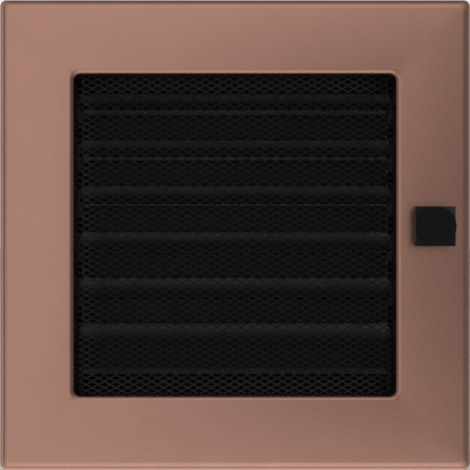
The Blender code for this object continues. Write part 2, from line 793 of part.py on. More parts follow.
def corner_rivet_places():
    """(y, z) of the rivets that join a side wall to the top and bottom walls."""
    ends = (CORNER_TAB_START + CORNER_RIVET_EDGE, CORNER_TAB_END - CORNER_RIVET_EDGE)
    return [(y, side * CORNER_RIVET_Z) for y in ends for side in (1, -1)]


def spring_rivet_places():
    """(y, z) of the rivets that hold the springs to a side wall."""
    middle = SPRING_FOOT_FRONT + SPRING_FOOT / 2
    half = SPRING_RIVET_SPACING / 2
    return [(middle + y, side * SPRING_OFFSET) for y in (-half, half) for side in (1, -1)]


def cassette_side(name, side):
    """Side wall with a flange on the face and a rear flange that hides the blades' end gap."""
    path = [
        (side * SIDE_FLANGE_END, CASSETTE_FRONT),
        (side * SIDE_INSIDE, CASSETTE_FRONT),
        (side * SIDE_INSIDE, REAR_FLANGE_FRONT),
        (side * (SIDE_INSIDE - REAR_FLANGE), REAR_FLANGE_FRONT),
    ]
    bent = rounded_path(path, [CASSETTE_BEND, REAR_BEND])
    wall = prism(name, sheet_outline(bent, -side * CASSETTE_SHEET), -CASSETTE_TOP, CASSETTE_TOP, "Z")
    reach = (SIDE_INSIDE - CASSETTE_SHEET, SIDE_OUTSIDE + CASSETTE_SHEET)
    low, high = sorted(side * x for x in reach)
    bores = [pivot(index) for index in range(BLADE_COUNT)]
    bore = rods("pivot_bores", "X", bores, BUSH_RADIUS + SEAT_GAP, low, high, HOLE_STEPS)
    small = [(0.0, y, z) for y, z in corner_rivet_places() + spring_rivet_places()]
    drill = rods("rivet_holes", "X", small, RIVET_HOLE, low, high)
    return combined(name, wall, (bore, "DIFFERENCE"), (drill, "DIFFERENCE"))


def cassette_end(name, side, web_holes=()):
    """Top or bottom wall: a flange on the face, and at each end a tab riveted to a side wall."""
    path = [
        (END_WALL_BACK, side * CASSETTE_TOP),
        (CASSETTE_FRONT, side * CASSETTE_TOP),
        (CASSETTE_FRONT, side * END_FLANGE_EDGE),
    ]
    bent = rounded_path(path, [CASSETTE_BEND])
    tab_outside = SIDE_INSIDE - SEAT_GAP
    half = tab_outside - SEAT_GAP
    wall = prism(name, sheet_outline(bent, side * CASSETTE_SHEET), -half, half, "X")
    tab_reach = (CASSETTE_TOP - CORNER_TAB_HEIGHT, CASSETTE_TOP - CASSETTE_SHEET / 2)
    low, high = sorted(side * z for z in tab_reach)
    outline = rectangle((CORNER_TAB_START, low), (CORNER_TAB_END, high))
    tabs = bmesh.new()
    extrude_outline(tabs, outline, tab_outside - CASSETTE_SHEET, tab_outside, "X")
    extrude_outline(tabs, outline, -tab_outside, CASSETTE_SHEET - tab_outside, "X")
    rivets = bmesh.new()
    shank_end = tab_outside - CASSETTE_SHEET / 2
    for across in (1, -1):
        shank = rivet_profile(across * shank_end, across * (SIDE_OUTSIDE + SEAT_GAP))
        for y, z in corner_rivet_places():
            if z * side > 0:
                revolve(rivets, shank, "X", (0.0, y, z), SMALL_STEPS)
    studs = [centre for centre in stud_centres() if centre[2] * side > 0]
    stud_drill = rods("stud_holes", "Y", studs, STUD_RADIUS + SEAT_GAP, FACE_FRONT, 0.0, HOLE_STEPS)
    changes = [
        (mesh_from(tabs, "tabs"), "UNION"),
        (mesh_from(rivets, "rivets"), "UNION"),
        (stud_drill, "DIFFERENCE"),
    ]
    if web_holes:
        drill_reach = (CASSETTE_TOP_INSIDE - CASSETTE_SHEET, CASSETTE_TOP + CASSETTE_SHEET)
        low, high = sorted(side * z for z in drill_reach)
        drill = rods("web_holes", "Z", web_holes, RIVET_HOLE, low, high)
        changes.append((drill, "DIFFERENCE"))
    return combined(name, wall, *changes)


def baffle_rivet_places():
    y = BAFFLE_WEB_Y + BAFFLE_FOOT / 2 + RIVET_RADIUS
    return [(x, y, 0.0) for x in (-BAFFLE_RIVET_OFFSET, 0.0, BAFFLE_RIVET_OFFSET)]


def baffle_mesh():
    """Folded strip from the bottom wall up behind the last blade and down its front as a short lip."""
    fold_z = blade_z(BLADE_COUNT)
    top_z = fold_z + FLAT_HEIGHT + TOP_HEIGHT
    foot_z = BLADE_SHEET + SEAT_GAP - CASSETTE_TOP_INSIDE
    path = [
        (BAFFLE_FOOT_END, foot_z),
        (BAFFLE_WEB_Y, foot_z),
        (BAFFLE_WEB_Y, top_z),
        (FOLD_Y + TOP_LEAN, top_z),
        (FOLD_Y, fold_z + FLAT_HEIGHT),
        (FOLD_Y, fold_z),
        (FOLD_Y - BAFFLE_LIP_REACH, fold_z - BAFFLE_LIP_DROP),
    ]
    bent = rounded_path(path, [FOLD_RADIUS] * (len(path) - 2))
    strip = prism("baffle_strip", sheet_outline(bent, BLADE_SHEET), -BLADE_HALF, BLADE_HALF, "X")
    shank = rivet_profile(foot_z - BLADE_SHEET / 2, -CASSETTE_TOP - SEAT_GAP)
    rivets = turned_group("baffle_rivets", shank, "Z", baffle_rivet_places(), SMALL_STEPS)
    return combined("bottom_baffle", strip, (rivets, "UNION"))


def build_cassette(cassette_black, blade_black):
    place("cassette_right_side", cassette_side("cassette_right_side", 1), cassette_black)
    place("cassette_left_side", cassette_side("cassette_left_side", -1), cassette_black)
    place("cassette_top", cassette_end("cassette_top", 1), cassette_black)
    bottom = cassette_end("cassette_bottom", -1, baffle_rivet_places())
    place("cassette_bottom", bottom, cassette_black)
    place("bottom_baffle", baffle_mesh(), blade_black)


def build_nuts(steel):
    """Nuts on the face's studs, which hold the cassette."""
    low = CASSETTE_FRONT + CASSETTE_SHEET + SEAT_GAP
    hexagon = circle((0.0, 0.0), NUT_WIDTH / 2 / math.cos(math.pi / NUT_SIDES), NUT_SIDES)
    hole = circle((0.0, 0.0), STUD_RADIUS + SEAT_GAP)
    nut = prism("stud_nut", hexagon, low, low + NUT_THICKNESS, "Y", [hole])
    for index, centre in enumerate(stud_centres()):
        place(f"stud_nut_{index + 1}", nut, steel, centre)


# Wall sleeve and the springs that grip it.


def anchor_shapes():
    """Windows cut in the sleeve's walls and the tabs that are bent out of them."""
    windows, tabs = bmesh.new(), bmesh.new()
    root = SLEEVE_INSIDE + SLEEVE_SHEET / 2
    lean = (math.sin(ANCHOR_ANGLE), math.cos(ANCHOR_ANGLE))
    tip = (root + ANCHOR_LENGTH * lean[0], ANCHOR_DEPTH + ANCHOR_LENGTH * lean[1])
    bend = [(root, ANCHOR_DEPTH - SLEEVE_SHEET / 2), (root, ANCHOR_DEPTH), tip]
    leaf = sheet_outline(bend, -SLEEVE_SHEET / 2)
    window = rectangle(
        (SLEEVE_INSIDE - SLEEVE_SHEET, ANCHOR_DEPTH),
        (SLEEVE_OUTSIDE + SLEEVE_SHEET, ANCHOR_DEPTH + ANCHOR_LENGTH),
    )
    for side in (1, -1):
        for offset in (-ANCHOR_OFFSET, ANCHOR_OFFSET):
            for outline, shape, slit in ((window, windows, 0.0), (leaf, tabs, ANCHOR_SLIT)):
                half = ANCHOR_WIDTH / 2 - slit
                sideways = [(side * x, y) for x, y in outline]
                extrude_outline(shape, sideways, offset - half, offset + half, "Z")
                upright = [(y, side * x) for x, y in outline]
                extrude_outline(shape, upright, offset - half, offset + half, "X")
    return mesh_from(windows, "windows"), mesh_from(tabs, "tabs")


def build_sleeve(galvanised):
    path = [
        (SLEEVE_OUTSIDE + SLEEVE_FLANGE, 0.0),
        (SLEEVE_OUTSIDE, 0.0),
        (SLEEVE_OUTSIDE, SLEEVE_DEPTH),
    ]
    section = sheet_outline(rounded_path(path, [SLEEVE_BEND]), SLEEVE_SHEET)
    tube = square_sheet("sleeve_tube", section, lambda half: SLEEVE_CORNER_RADIUS)
    windows, tabs = anchor_shapes()
    sleeve = combined("wall_sleeve", tube, (windows, "DIFFERENCE"), (tabs, "UNION"))
    place("wall_sleeve", sleeve, galvanised)


def spring_mesh(side):
    """Leaf riveted to a side wall, bowed out to the sleeve and back."""
    foot = SIDE_OUTSIDE + SEAT_GAP
    crest = SLEEVE_INSIDE - SEAT_GAP - SPRING_SHEET
    crest_y = FACE_FRONT + SPRING_CREST_DEPTH
    path = [
        (foot, SPRING_FOOT_FRONT),
        (foot, SPRING_FOOT_FRONT + SPRING_FOOT),
        (crest, crest_y),
        (crest - SPRING_TAIL_RETURN, crest_y + SPRING_TAIL),
    ]
    bent = [(side * x, y) for x, y in rounded_path(path, [SPRING_BEND, SPRING_BEND])]
    half = SPRING_WIDTH / 2
    leaf = prism("leaf", sheet_outline(bent, -side * SPRING_SHEET), -half, half, "Z")
    centres = [(0.0, y, 0.0) for y, z in spring_rivet_places() if z > 0]
    head = rivet_profile(side * SIDE_INSIDE, side * (foot + SPRING_SHEET * RIVET_ROOT))
    rivets = turned_group("spring_rivets", head, "X", centres, SMALL_STEPS)
    return combined("spring_clip", leaf, (rivets, "UNION"))


def build_springs(spring_steel):
    for side, across in [(1, "right"), (-1, "left")]:
        mesh = spring_mesh(side)
        place(f"spring_clip_upper_{across}", mesh, spring_steel, (0.0, 0.0, SPRING_OFFSET))
        place(f"spring_clip_lower_{across}", mesh, spring_steel, (0.0, 0.0, -SPRING_OFFSET))


def main():
    clear_scene()
    copper = finish("copper_face", (0.38, 0.22, 0.18), 0.30, 1.0)
    mesh_black = finish("mesh_black", (0.03, 0.03, 0.03), 0.45, 0.0)
    blade_black = finish("blade_black", (0.03, 0.03, 0.03), 0.50, 0.0)
    cassette_black = finish("cassette_black", (0.02, 0.02, 0.02), 0.55, 0.0)
    steel = finish("zinc_plated_steel", (0.55, 0.56, 0.58), 0.35, 1.0)
    zinc = finish("die_cast_zinc", (0.42, 0.43, 0.45), 0.45, 1.0)
    spring_steel = finish("spring_steel", (0.30, 0.31, 0.34), 0.30, 1.0)
    galvanised = finish("galvanised_sheet", (0.50, 0.52, 0.54), 0.50, 1.0)
    nylon = finish("black_nylon", (0.02, 0.02, 0.021), 0.45, 0.0)
    nickel = finish("nickel_magnet", (0.60, 0.58, 0.55), 0.20, 1.0)
    black_plastic = finish("black_plastic", (0.012, 0.012, 0.013), 0.45, 0.0)
    disc_plastic = finish("matt_black_disc", (0.007, 0.007, 0.007), 0.60, 0.0)
    felt = finish("grey_felt", (0.08, 0.08, 0.08), 0.95, 0.0)

    build_face(copper)
    build_mesh(mesh_black)
    build_blades(blade_black, steel, zinc)
    build_bushes(nylon)
    build_link(steel, zinc, nickel)
    build_knob(black_plastic, disc_plastic, nickel, felt)
    build_cassette(cassette_black, blade_black)
    build_nuts(steel)
    build_sleeve(galvanised)
    build_springs(spring_steel)


main()
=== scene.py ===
"""Looks of the louvred vent cover: fine face, mesh and knob, surfaces, light and camera.

Sizes are in metres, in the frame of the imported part: the wall is the plane y = 0, the face looks
along -Y and the blades lie along X.
"""

import math

import bmesh
import bpy
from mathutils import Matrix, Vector


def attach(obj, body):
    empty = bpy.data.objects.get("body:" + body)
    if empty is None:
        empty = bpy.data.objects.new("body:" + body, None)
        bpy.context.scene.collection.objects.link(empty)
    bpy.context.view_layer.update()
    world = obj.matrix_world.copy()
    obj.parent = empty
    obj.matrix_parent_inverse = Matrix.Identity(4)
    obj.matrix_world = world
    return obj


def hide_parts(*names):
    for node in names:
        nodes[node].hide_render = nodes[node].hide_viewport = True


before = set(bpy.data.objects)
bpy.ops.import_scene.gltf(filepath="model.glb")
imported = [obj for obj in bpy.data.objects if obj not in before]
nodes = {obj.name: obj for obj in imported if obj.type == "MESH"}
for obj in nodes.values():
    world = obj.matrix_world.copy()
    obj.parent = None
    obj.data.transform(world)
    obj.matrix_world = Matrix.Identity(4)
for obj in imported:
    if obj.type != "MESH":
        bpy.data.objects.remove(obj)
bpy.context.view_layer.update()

# Face, as packed: a pressed sheet with a return edge and a lip round its opening.
FACE_HALF = 0.086
FACE_FRONT = -0.010
FACE_SHEET = 0.0012
FACE_EDGE_RADIUS = 0.0036
FACE_CORNER_RADIUS = 0.0024
OPENING_HALF = 0.0584
OPENING_CORNER_RADIUS = 0.0022
LIP_RADIUS = 0.0019
LIP_END = -0.005
STUD_RADIUS = 0.0015
STUD_TIP = -0.0025
STUD_PLACES = [(x, z) for x in (-0.0450, 0.0450) for z in (-0.06585, 0.06585)]
THREAD_PITCH = 0.0005
THREAD_DEPTH = 0.0003
FACE_BEND_STEPS = 14
CORNER_STEPS = 12
SMOOTH_ANGLE = 38.0

# Fine diamond mesh in the opening.
MESH_HALF = 0.0593
MESH_FRONT = -0.0047
MESH_BACK = -0.0039
CELL_HALF_WIDTH = 0.0021903
CELL_HALF_HEIGHT = 0.0011718
CELL_SHIFT = CELL_HALF_WIDTH
STRAND_WIDTH = 0.00040
STRAND_THICKNESS = 0.00025
STRAND_TILT = 0.00014
MESH_SMOOTH_ANGLE = 20.0
MERGE_DISTANCE = 1e-6

# Knob, from the face outward: felt pad, round holder, square cap, and a round front disc that
# sits a little to the right of the cap's middle.
KNOB_X = 0.0713
KNOB_Z = 0.0031
PAD_RADIUS = 0.0062
PAD_BACK = -0.0103
PAD_FRONT = -0.0107
PAD_EDGE = (PAD_BACK - PAD_FRONT) / 3
HOLDER_RADIUS = 0.0064
HOLDER_BACK = -0.0110
HOLDER_WAIST = 0.0003
HOLDER_GROOVE = (0.28, 0.36, 0.64, 0.72)  # shares of its length
CAP_HALF = 0.0071
CAP_BACK = -0.0153
CAP_FRONT = -0.0190
CAP_EDGE = 0.00022
CAP_CORNER = 0.0003
CAP_LEAST_CORNER = 0.00002
DISC_RADIUS = 0.0070
DISC_SHIFT = 0.00025
DISC_FRONT = -0.0201
DISC_EDGE = 0.00035
EDGE_STEPS = 6
ROUND_STEPS = 96

# Painted light and shade: where the colour of a surface changes. Each row gives the factor on the
# colour at one place, the factor at another, and the two places, between which it changes evenly.
# The places are depths (y), heights (z), distances from the middle, or how far the surface faces
# one way.
# Painted shade: the copper is darker on the lip round the opening.
LIP_PAINTED_SHADE = (0.6, 1.0, OPENING_HALF, OPENING_HALF + LIP_RADIUS)
# Painted light: the blades are lighter toward the rim of the opening.
BLADE_RIM_PAINTED_LIGHT = (1.0, 2.0, 0.0490, 0.0570)
# Painted light from above on what faces up: more lower down, less at the very bottom, more on the
# top blade.
PAINTED_LIGHT_FACING_UP = (0.0, 1.0, 0.4, 1.0)
PAINTED_LIGHT_BY_HEIGHT = (38.0, 26.0, -0.036, 0.040)
PAINTED_LIGHT_AT_BOTTOM = (0.5, 1.0, -0.052, -0.045)
PAINTED_LIGHT_ON_FIRST_BLADE = (1.0, 1.8, 0.0482, 0.0495)
# Painted shade in the blades' hollow: the painted light from above is taken out there, except low
# down.
SHADED_HOLLOW_FRONT = (0.0, 0.95, 0.0112, 0.0124)
SHADED_HOLLOW_BACK = (1.0, 0.0, 0.0130, 0.0131)
SHADED_HOLLOW_BOTTOM = (0.0, 1.0, -0.046, -0.042)
# Painted shade on the blades, darkest toward their front.
NOSE_PAINTED_SHADE = (0.05, 1.0, 0.0, 0.0105)
# Painted shade on the blades at the very bottom.
FOOT_PAINTED_SHADE = (0.4, 1.0, -0.0560, -0.0535)
# Painted light on the forward-facing strip under each lip.
STRIP_PAINTED_LIGHT_FACING = (1.0, 0.0, -0.5, -0.3)
STRIP_PAINTED_LIGHT_DEPTH = (0.0, 4.6, 0.0131, 0.0134)
# Painted light on the mesh toward the rim of the opening.
MESH_RIM_LIGHT_BESIDE = (1.0, 2.7, 0.0510, 0.0545)
MESH_RIM_LIGHT_ABOVE = (1.0, 3.9, 0.0510, 0.0545)
MESH_RIM_LIGHT_BELOW = (3.2, 1.0, -0.0545, -0.0510)
# Painted shade on the mesh at its far right and far left.
MESH_PAINTED_SHADE_RIGHT = (1.0, 0.26, 0.0480, 0.0560)
MESH_PAINTED_SHADE_LEFT = (0.5, 1.0, -0.0580, -0.0550)
# Painted light toward the upper right corner of the knob's cap.
CAP_PAINTED_LIGHT_START = KNOB_X + KNOB_Z + 0.004
CAP_PAINTED_LIGHT = (1.0, 4.6, CAP_PAINTED_LIGHT_START, CAP_PAINTED_LIGHT_START + 0.009)
NOISE_LOW = 0.3  # nearly all noise lies between these two
NOISE_HIGH = 0.7

# Camera.
CAMERA_Y = -0.410
CAMERA_CLIP = 0.01
SENSOR = 36.0
LENS = 84.35

# Brightness of the surroundings toward each side of the view, at these angles in degrees from
# straight ahead of the face, where it is AHEAD, to straight behind it, where it is BEHIND.
LIGHT_ANGLES = (0, 7, 14, 22, 32, 44, 58, 72, 86, 98, 110, 124, 140, 158, 180)
AHEAD = 0.54
BEHIND = 1.00
LIGHT_BETWEEN = {
    "left": (1.02, 0.95, 0.69, 0.65, 0.65, 0.22, 0.20, 1.00, 0.93, 0.32, 0.22, 0.71, 1.03),
    "right": (0.20, 0.20, 0.20, 0.20, 0.20, 0.20, 0.20, 0.31, 0.52, 0.22, 0.22, 0.30, 0.89),
    "up": (0.63, 0.83, 1.02, 1.01, 0.92, 0.72, 0.45, 0.28, 0.20, 0.20, 0.30, 1.06, 1.10),
    "down": (0.55, 0.65, 0.97, 1.13, 1.17, 1.25, 0.95, 0.63, 0.72, 1.16, 1.25, 1.25, 1.02),
}
ON_AXIS = 1e-7  # keeps a division defined straight ahead and straight behind

# Floor and overhead light.
FLOOR_Z = -0.0865
FLOOR_REACH = 6.0
FLOOR_MOTTLE = 0.05
SOFTBOX_Z = 2.0
SOFTBOX_SIZE = 3.0
SOFTBOX_POWER = 30.0


# Shapes.


def new_piece(name, bm, material, smooth_angle=SMOOTH_ANGLE):
    """Close a bmesh off as an object with outward faces and smooth rounds."""
    bmesh.ops.recalc_face_normals(bm, faces=bm.faces)
    mesh = bpy.data.meshes.new(name)
    bm.to_mesh(mesh)
    bm.free()
    mesh.shade_smooth()
    mesh.set_sharp_from_angle(angle=math.radians(smooth_angle))
    piece = bpy.data.objects.new(name, mesh)
    bpy.context.scene.collection.objects.link(piece)
    mesh.materials.append(material)
    return piece


def bend(path, radii, steps):
    """Replace the inner corners of an open path of (u, v) by arcs of these radii."""
    points = [Vector(path[0])]
    for before, corner, after, radius in zip(path, path[1:], path[2:], radii):
        corner = Vector(corner)
        back = (Vector(before) - corner).normalized()
        ahead = (Vector(after) - corner).normalized()
        half_angle = back.angle(ahead) / 2
        reach = radius / math.tan(half_angle)
        centre = corner + (back + ahead).normalized() * radius / math.sin(half_angle)
        start = corner + back * reach - centre
        sweep = start.angle_signed(corner + ahead * reach - centre)
        for step in range(steps + 1):
            turn = -sweep * step / steps
            cosine, sine = math.cos(turn), math.sin(turn)
            arm = Vector((start.x * cosine - start.y * sine, start.x * sine + start.y * cosine))
            points.append(centre + arm)
    points.append(Vector(path[-1]))
    return points


def offset(points, distance):
    """Path parallel to an open path, on the left of its direction of travel."""
    directions = [(b - a).normalized() for a, b in zip(points, points[1:])]
    normals = [Vector((-d.y, d.x)) for d in directions]
    shifted = [points[0] + normals[0] * distance]
    for point, first, second in zip(points[1:], normals, normals[1:]):
        middle = (first + second).normalized()
        shifted.append(point + middle * distance / middle.dot(first))
    shifted.append(points[-1] + normals[-1] * distance)
    return shifted


def square_ring(half, corner, y, steps):
    """Loop of points round a square with round corners, in the plane at y."""
    points = []
    for quarter in range(4):
        diagonal = (quarter + 0.5) * math.pi / 2
        across = math.copysign(half - corner, math.cos(diagonal))
        up = math.copysign(half - corner, math.sin(diagonal))
        for step in range(steps + 1):
            angle = (quarter + step / steps) * math.pi / 2
            points.append((across + corner * math.cos(angle), y, up + corner * math.sin(angle)))
    return points


def loft(bm, rings, closed=True):
    """Skin a row of equal rings of points."""
    rows = [[bm.verts.new(point) for point in ring] for ring in rings]
    following = rows[1:] + rows[:1] if closed else rows[1:]
    for row, after in zip(rows, following):
        for a, b, c, d in zip(row, row[1:] + row[:1], after[1:] + after[:1], after):
            bm.faces.new((a, b, c, d))
    return rows


def lathe(bm, profile, centre, axis, steps):
    """Turn a profile of (radius, height) points about an axis; its ends are closed by fans."""
    centre = Vector(centre)
    axis = Vector(axis).normalized()
    side = axis.orthogonal().normalized()
    other = axis.cross(side)
    rows = []
    for radius, height in profile:
        if radius == 0.0:
            rows.append([bm.verts.new(centre + axis * height)])
            continue
        ring = []
        for step in range(steps):
            angle = 2 * math.pi * step / steps
            arm = side * math.cos(angle) + other * math.sin(angle)
            ring.append(bm.verts.new(centre + axis * height + arm * radius))
        rows.append(ring)
    for row, after in zip(rows, rows[1:]):
        for step in range(steps):
            near = [row[step % len(row)], row[(step + 1) % len(row)]]
            far = [after[(step + 1) % len(after)], after[step % len(after)]]
            corners = list(dict.fromkeys(near + far))
            if len(corners) > 2:
                bm.faces.new(corners)


def face_corner(half):
    """Corner radius of the face's ring at this half width."""
    if half > (FACE_HALF + OPENING_HALF) / 2:
        return FACE_CORNER_RADIUS
    return OPENING_CORNER_RADIUS + half - OPENING_HALF


def build_face(material):
    """Pressed sheet of even thickness, from the wall over the face into the opening."""
    path = [
        (FACE_HALF, 0.0),
        (FACE_HALF, FACE_FRONT),
        (OPENING_HALF, FACE_FRONT),
        (OPENING_HALF, LIP_END),
    ]
    outside = bend(path, [FACE_EDGE_RADIUS, LIP_RADIUS], FACE_BEND_STEPS)
    section = outside + offset(outside, -FACE_SHEET)[::-1]
    bm = bmesh.new()
    loft(bm, [square_ring(p.x, face_corner(p.x), p.y, CORNER_STEPS) for p in section])
    piece = new_piece("face_shell", bm, material)
    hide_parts("front_fascia")
    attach(piece, "housing")


def round_piece(name, profile, centre, material):
    """Turned piece on an axis along Y, whose profile gives radius and y."""
    bm = bmesh.new()
    lathe(bm, profile, (centre[0], 0.0, centre[1]), (0.0, 1.0, 0.0), ROUND_STEPS)
    return new_piece(name, bm, material)


def rounded_disc(radius, front, back, edge):
    """Profile of a flat disc whose front edge is rounded."""
    arc = [step / EDGE_STEPS * math.pi / 2 for step in range(EDGE_STEPS + 1)]
    rim = [(radius - edge + edge * math.sin(a), front + edge - edge * math.cos(a)) for a in arc]
    return [(0.0, front)] + rim + [(radius, back), (0.0, back)]


def build_studs(material):
    """Threaded weld studs on the back of the face, which hold the cassette."""
    root = FACE_FRONT + FACE_SHEET
    turns = int((STUD_TIP - root) / THREAD_PITCH)
    for index, place in enumerate(STUD_PLACES):
        profile = [(0.0, root)]
        for turn in range(turns):
            profile.append((STUD_RADIUS - THREAD_DEPTH, root + turn * THREAD_PITCH))
            profile.append((STUD_RADIUS, root + (turn + 0.5) * THREAD_PITCH))
        profile += [(STUD_RADIUS - THREAD_DEPTH, STUD_TIP), (0.0, STUD_TIP)]
        piece = round_piece(f"weld_stud_{index + 1}", profile, place, material)
        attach(piece, "housing")


def knob_piece(piece, node):
    """Put a piece of the knob in the place of its CAD node."""
    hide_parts(node)
    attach(piece, "knob")


def holder_profile():
    """Profile of the round holder, with a shallow groove round its middle."""
    length = HOLDER_BACK - CAP_BACK
    waist = HOLDER_RADIUS - HOLDER_WAIST
    groove = [CAP_BACK + length * share for share in HOLDER_GROOVE]
    radii = (HOLDER_RADIUS, waist, waist, HOLDER_RADIUS)
    profile = [(0.0, CAP_BACK), (HOLDER_RADIUS, CAP_BACK), *zip(radii, groove)]
    profile += [(HOLDER_RADIUS, HOLDER_BACK - HOLDER_WAIST), (waist, HOLDER_BACK)]
    return profile + [(0.0, HOLDER_BACK)]


def cap_mesh():
    """Square cap whose front and back edges are rounded."""
    bm = bmesh.new()
    rings = []
    for level, inward in [(CAP_BACK, 1), (CAP_FRONT, -1)]:
        for step in range(EDGE_STEPS + 1):
            angle = step / EDGE_STEPS * math.pi / 2
            if inward < 0:
                angle = math.pi / 2 - angle
            inset = CAP_EDGE * (1 - math.sin(angle))
            depth = level - inward * CAP_EDGE * (1 - math.cos(angle))
            corner = max(CAP_CORNER - inset, CAP_LEAST_CORNER)
            ring = square_ring(CAP_HALF - inset, corner, depth, EDGE_STEPS)
            rings.append([(x + KNOB_X, y, z + KNOB_Z) for x, y, z in ring])
    rows = loft(bm, rings, closed=False)
    bm.faces.new(rows[0])
    bm.faces.new(rows[-1])
    return bm


def build_knob(finishes):
    """Felt pad, holder, cap and front disc, from the face outward."""
    centre = (KNOB_X, KNOB_Z)
    profile = rounded_disc(PAD_RADIUS, PAD_FRONT, PAD_BACK, PAD_EDGE)
    pad = round_piece("felt_pad", profile, centre, finishes["grey_felt"])
    knob_piece(pad, "knob_glide_pad")

    holder = round_piece("magnet_holder", holder_profile(), centre, finishes["black_plastic"])
    knob_piece(holder, "knob_holder")

    cap = new_piece("square_cap", cap_mesh(), finishes["black_plastic"])
    knob_piece(cap, "knob_cap")

    profile = rounded_disc(DISC_RADIUS, DISC_FRONT, CAP_FRONT, DISC_EDGE)
    shifted = (KNOB_X + DISC_SHIFT, KNOB_Z)
    disc = round_piece("front_disc", profile, shifted, finishes["matt_black_disc"])
    knob_piece(disc, "knob_front_disc")


def mesh_cell(bm, x, z):
    """One diamond opening with the halves of the strands round it."""
    wide, high = CELL_HALF_WIDTH, CELL_HALF_HEIGHT
    share = 1 - STRAND_WIDTH / 2 * math.hypot(wide, high) / (wide * high)
    middle = (MESH_FRONT + MESH_BACK) / 2
    outer = [(wide, 0.0, 0.0), (0.0, high, 0.0), (-wide, 0.0, 0.0), (0.0, -high, 0.0)]
    inner = [(wide * share, 0.0, 0.0), (0.0, high * share, -STRAND_TILT)]
    inner += [(-wide * share, 0.0, 0.0), (0.0, -high * share, STRAND_TILT)]
    rings = []
    for corners, level in [(outer, -1), (inner, -1), (inner, 1), (outer, 1)]:
        depth = middle + level * STRAND_THICKNESS / 2
        rings.append([(x + u, depth + w, z + v) for u, v, w in corners])
    loft(bm, rings, closed=False)


def build_mesh(material):
    """Field of diamond cells, cut square to fit behind the lip."""
    bm = bmesh.new()
    columns = int(MESH_HALF / CELL_HALF_WIDTH) + 2
    rows = int(MESH_HALF / CELL_HALF_HEIGHT) + 2
    for column in range(-columns, columns + 1):
        for row in range(-rows, rows + 1):
            if (column + row) % 2 == 0:
                x = column * CELL_HALF_WIDTH + CELL_SHIFT
                mesh_cell(bm, x, row * CELL_HALF_HEIGHT)
    bmesh.ops.remove_doubles(bm, verts=bm.verts, dist=MERGE_DISTANCE)
    for normal in [(1, 0, 0), (-1, 0, 0), (0, 0, 1), (0, 0, -1)]:
        cut = bmesh.ops.bisect_plane(
            bm,
            geom=bm.verts[:] + bm.edges[:] + bm.faces[:],
            plane_co=Vector(normal) * MESH_HALF,
            plane_no=normal,
            clear_outer=True,
        )
        rim = [item for item in cut["geom_cut"] if isinstance(item, bmesh.types.BMEdge)]
        bmesh.ops.holes_fill(bm, edges=rim, sides=0)
    piece = new_piece("diamond_mesh", bm, material, MESH_SMOOTH_ANGLE)
    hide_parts("mesh_panel")
    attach(piece, "housing")


# Surfaces.


class Tree:
    """A node tree, with short calls for its nodes, links and arithmetic."""

    def __init__(self, owner):
        owner.use_nodes = True
        self.tree = owner.node_tree

    def add(self, kind, **settings):
        node = self.tree.nodes.new(kind)
        for key, value in settings.items():
            setattr(node, key, value)
        return node

    def feed(self, socket, value):
        """Join a socket to another one, or write a plain value into it."""
        if isinstance(value, bpy.types.NodeSocket):
            self.tree.links.new(value, socket)
        else:
            socket.default_value = value

    def compute(self, operation, *values):
        """Result of one step of arithmetic on sockets or plain values."""
        node = self.add("ShaderNodeMath", operation=operation)
        for socket, value in zip(node.inputs, values):
            self.feed(socket, value)
        return node.outputs[0]


